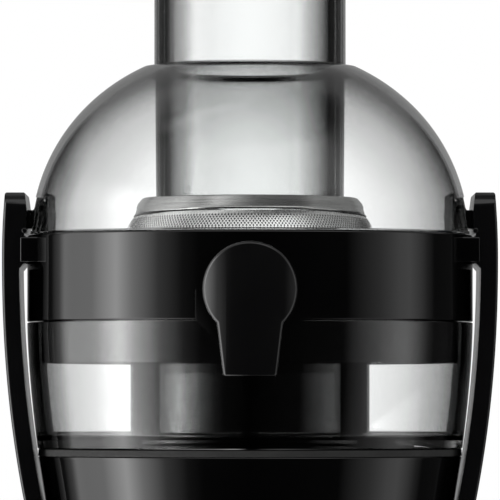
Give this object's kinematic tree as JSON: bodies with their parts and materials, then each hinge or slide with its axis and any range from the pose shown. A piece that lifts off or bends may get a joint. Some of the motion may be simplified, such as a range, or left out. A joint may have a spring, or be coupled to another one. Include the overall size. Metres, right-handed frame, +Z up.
{
  "type": "centrifugal juicer",
  "caption": "Compact upright centrifugal juicer: domed clear lid with feed tube and pusher, spinning cone sieve, juice collector with keyhole spout, clear pulp container, clamps and motor base.",
  "frame": {"origin": "on the floor under the middle of the whole object, its feet at z = 0", "axes": "+Z up along the drive axis, front with the spout towards -Y, +X to the right seen from the front"},
  "size_m": [0.172, 0.1744, 0.36],
  "materials": {
    "gloss_black": "high-gloss moulded ABS, piano black",
    "spout_black": "gloss moulded plastic, slightly softer than the band",
    "clamp_black": "gloss moulded plastic",
    "matt_black": "fine spark-eroded matt",
    "lid_clear": "clear polished copolyester",
    "container_clear": "clear polished copolyester",
    "pusher_clear": "clear polished plastic",
    "rubber_black": "matt thermoplastic rubber",
    "sieve_rim_steel": "polished stainless steel, spun",
    "sieve_mesh_steel": "photo-etched stainless steel, finely perforated",
    "grater_steel": "stamped stainless steel",
    "zinc_steel": "zinc-plated steel",
    "bearing_steel": "ground steel",
    "lamination_steel": "stacked electrical steel laminations",
    "copper": "enamelled copper wire and copper bars",
    "brass": "stamped brass",
    "carbon": "pressed carbon",
    "grey_plastic": "moulded grey plastic",
    "pointer_grey": "inlaid light grey plastic"
  },
  "bodies": {
    "base": {"base_shell": "gloss_black", "juice_collector": "gloss_black", "base_plate": "matt_black", "lid": "lid_clear", "pulp_container": "container_clear", "foot_front_left": "rubber_black", "foot_front_right": "rubber_black", "foot_rear_left": "rubber_black", "foot_rear_right": "rubber_black", "seat_ring": "rubber_black", "cord_gland": "rubber_black", "motor_mount": "rubber_black", "shaft_seal": "rubber_black", "spout_seal": "rubber_black", "base_screw_1": "zinc_steel", "base_screw_2": "zinc_steel", "base_screw_3": "zinc_steel", "base_screw_4": "zinc_steel", "motor_bolt_1": "zinc_steel", "motor_bolt_2": "zinc_steel", "left_pivot_pin": "zinc_steel", "right_pivot_pin": "zinc_steel", "lower_bracket": "zinc_steel", "upper_bracket": "zinc_steel", "lower_bearing": "bearing_steel", "upper_bearing": "bearing_steel", "motor_stator": "lamination_steel", "lower_field_coil": "copper", "upper_field_coil": "copper", "left_brush_holder": "brass", "right_brush_holder": "brass", "left_carbon_brush": "carbon", "right_carbon_brush": "carbon", "left_interlock_switch": "grey_plastic", "right_interlock_switch": "grey_plastic", "speed_switch": "grey_plastic"},
    "rotor": {"rotor_shaft": "bearing_steel", "armature": "copper", "commutator": "copper", "cooling_fan": "grey_plastic", "drive_coupling": "matt_black", "sieve_hub": "matt_black", "grater_disc": "grater_steel", "sieve_mesh": "sieve_mesh_steel", "sieve_rim": "sieve_rim_steel"},
    "left_clamp": {"left_clamp": "clamp_black"},
    "right_clamp": {"right_clamp": "clamp_black"},
    "left_plunger": {"left_interlock_plunger": "matt_black"},
    "right_plunger": {"right_interlock_plunger": "matt_black"},
    "pusher": {"pusher_body": "pusher_clear", "pusher_cap": "matt_black"},
    "spout": {"spout": "spout_black"},
    "speed_knob": {"speed_knob": "gloss_black", "knob_pointer": "pointer_grey", "knob_spindle": "bearing_steel"}
  },
  "joints": [
    {"name": "rotor_spin", "type": "hinge", "parent": "base", "child": "rotor", "pos_m": [0, 0.00925, 0.2], "axis": [0, 0, 1], "continuous": true},
    {"name": "left_clamp_turn", "type": "hinge", "parent": "base", "child": "left_clamp", "pos_m": [-0.061, 0.00925, 0.1], "axis": [0, -1, 0], "range_deg": [0, 70]},
    {"name": "right_clamp_turn", "type": "hinge", "parent": "base", "child": "right_clamp", "pos_m": [0.061, 0.00925, 0.1], "axis": [0, 1, 0], "range_deg": [0, 70]},
    {"name": "left_plunger_slide", "type": "slide", "parent": "base", "child": "left_plunger", "axis": [-1, 0, 0], "range_m": [0, 0.003]},
    {"name": "right_plunger_slide", "type": "slide", "parent": "base", "child": "right_plunger", "axis": [1, 0, 0], "range_m": [0, 0.003]},
    {"name": "pusher_slide", "type": "slide", "parent": "base", "child": "pusher", "axis": [0, 0, 1], "range_m": [0, 0.13]},
    {"name": "spout_turn", "type": "hinge", "parent": "base", "child": "spout", "pos_m": [0, -0.07155, 0.2097], "axis": [0, -1, 0], "range_deg": [0, 180]},
    {"name": "speed_knob_turn", "type": "hinge", "parent": "base", "child": "speed_knob", "pos_m": [0, -0.05475, 0.052], "axis": [0, 1, 0], "range_deg": [0, 90]}
  ],
  "couplings": [
    {"joint": "left_plunger_slide", "follows": "left_clamp_turn", "m_per_rad": 0.00245},
    {"joint": "right_plunger_slide", "follows": "right_clamp_turn", "m_per_rad": 0.00245}
  ]
}
